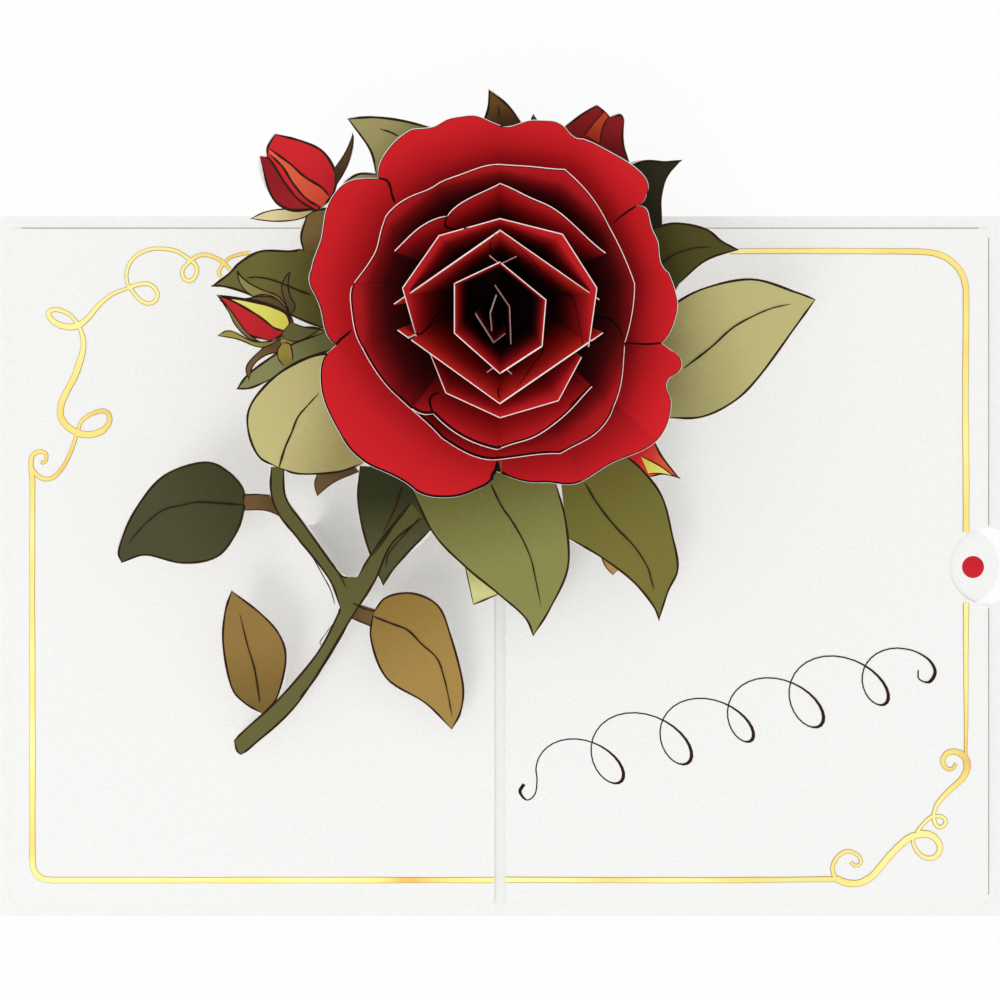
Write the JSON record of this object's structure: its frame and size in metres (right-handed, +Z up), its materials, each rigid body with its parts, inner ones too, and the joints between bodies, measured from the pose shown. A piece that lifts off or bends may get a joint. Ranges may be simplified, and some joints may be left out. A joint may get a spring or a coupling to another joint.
{
  "type": "pop up card",
  "caption": "Opened greeting card with a raised paper rose of slotted, folded petal strips on a tilted leaf sheet, foil border and a slide-out note card.",
  "frame": {"origin": "centre of the cover's underside, on the fold line", "axes": "+X to the right page's edge, +Y to the top edge, +Z up out of the opened card"},
  "size_m": [0.254, 0.1942, 0.0684],
  "materials": {
    "cover_card": "uncoated white board",
    "liner_card": "smooth white card with foil print",
    "foam_tape": "white foam tape",
    "note_paper": "smooth white card",
    "support_card": "uncoated white card",
    "leaf_card": "matte printed card",
    "petal_card": "matte printed card, white cut edges"
  },
  "bodies": {
    "card": {"cover": "cover_card", "liner_left": "liner_card", "liner_right": "liner_card", "leaf_sheet": "leaf_card", "foam_left_bottom": "foam_tape", "foam_left_top": "foam_tape", "foam_left_edge": "foam_tape", "foam_left_fold": "foam_tape", "foam_right_bottom": "foam_tape", "foam_right_top": "foam_tape", "foam_right_fold": "foam_tape", "spine_wall_left": "support_card", "spine_wall_right": "support_card", "side_wall_left": "support_card", "side_wall_right": "support_card", "branch_wall": "support_card", "petals_outer_left": "petal_card", "petals_outer_right": "petal_card", "petals_second_upper": "petal_card", "petals_second_lower": "petal_card", "petals_third_upper": "petal_card", "petals_third_lower": "petal_card", "petals_fourth_upper": "petal_card", "petals_fourth_lower": "petal_card", "petals_fifth_upper": "petal_card", "petals_fifth_lower": "petal_card", "petals_inner_left": "petal_card", "petals_inner_right": "petal_card", "heart_left": "petal_card", "heart_right": "petal_card", "heart_fold": "petal_card"},
    "note": {"note_card": "note_paper"}
  },
  "joints": [
    {"name": "note_slide", "type": "slide", "parent": "card", "child": "note", "axis": [1, 0, 0], "range_m": [0, 0.1]}
  ]
}
